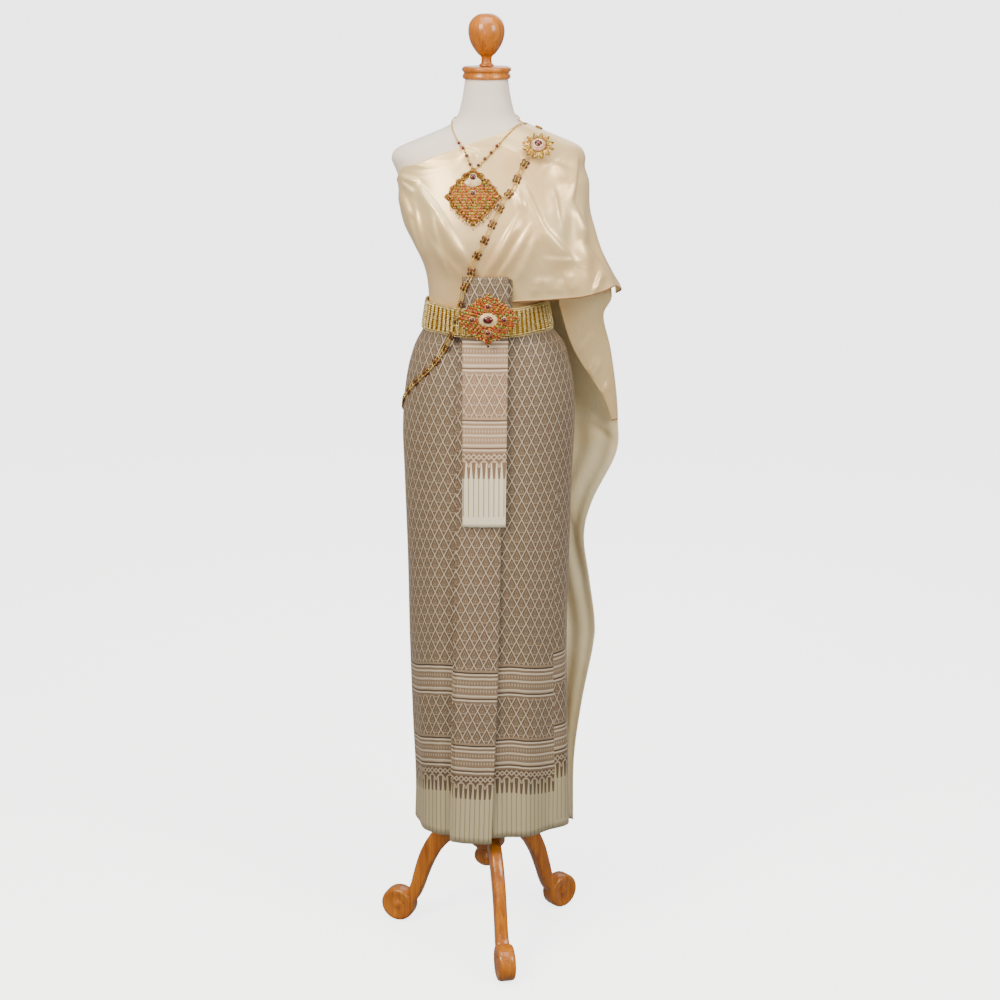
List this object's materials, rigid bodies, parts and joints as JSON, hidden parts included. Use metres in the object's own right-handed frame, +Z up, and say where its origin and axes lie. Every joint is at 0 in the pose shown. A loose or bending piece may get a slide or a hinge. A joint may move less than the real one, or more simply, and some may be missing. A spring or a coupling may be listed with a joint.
{
  "type": "chut thai dress on limbless dress form and stand",
  "caption": "One-shoulder satin shawl and brocade tube skirt with pleated front, gold belt, pendant and flower sash chain, on a limbless form with a wooden tripod.",
  "frame": {"origin": "on the floor, under the middle of the bounding box", "axes": "+Z up along the pole, -Y to the front of the dress, +X to the wearer's left"},
  "size_m": [0.4684, 0.3824, 1.795],
  "materials": {
    "jersey": "matte stretch jersey over the form",
    "wood": "clear varnish",
    "satin": "cream satin",
    "brocade": "taupe brocade with silver thread",
    "gold": "polished gilt",
    "gems": "gilt set with red stones"
  },
  "bodies": {
    "root": {"form_torso": "jersey", "neck_cap": "wood", "neck_finial": "wood", "stand_pole": "wood", "stand_hub": "wood", "stand_leg_front": "wood", "stand_leg_left": "wood", "stand_leg_right": "wood", "sabai_chest_wrap": "satin", "sabai_front_drape": "satin", "sabai_back_fall": "satin", "sabai_turnback": "satin", "skirt_tube": "brocade", "skirt_front_pleats": "brocade", "skirt_top_flap": "brocade", "belt_band": "gold", "belt_buckle": "gems", "pendant": "gems", "shoulder_brooch": "gems", "necklace_chain": "gold", "sash_chain_front": "gems", "sash_chain_back": "gems"}
  },
  "joints": []
}
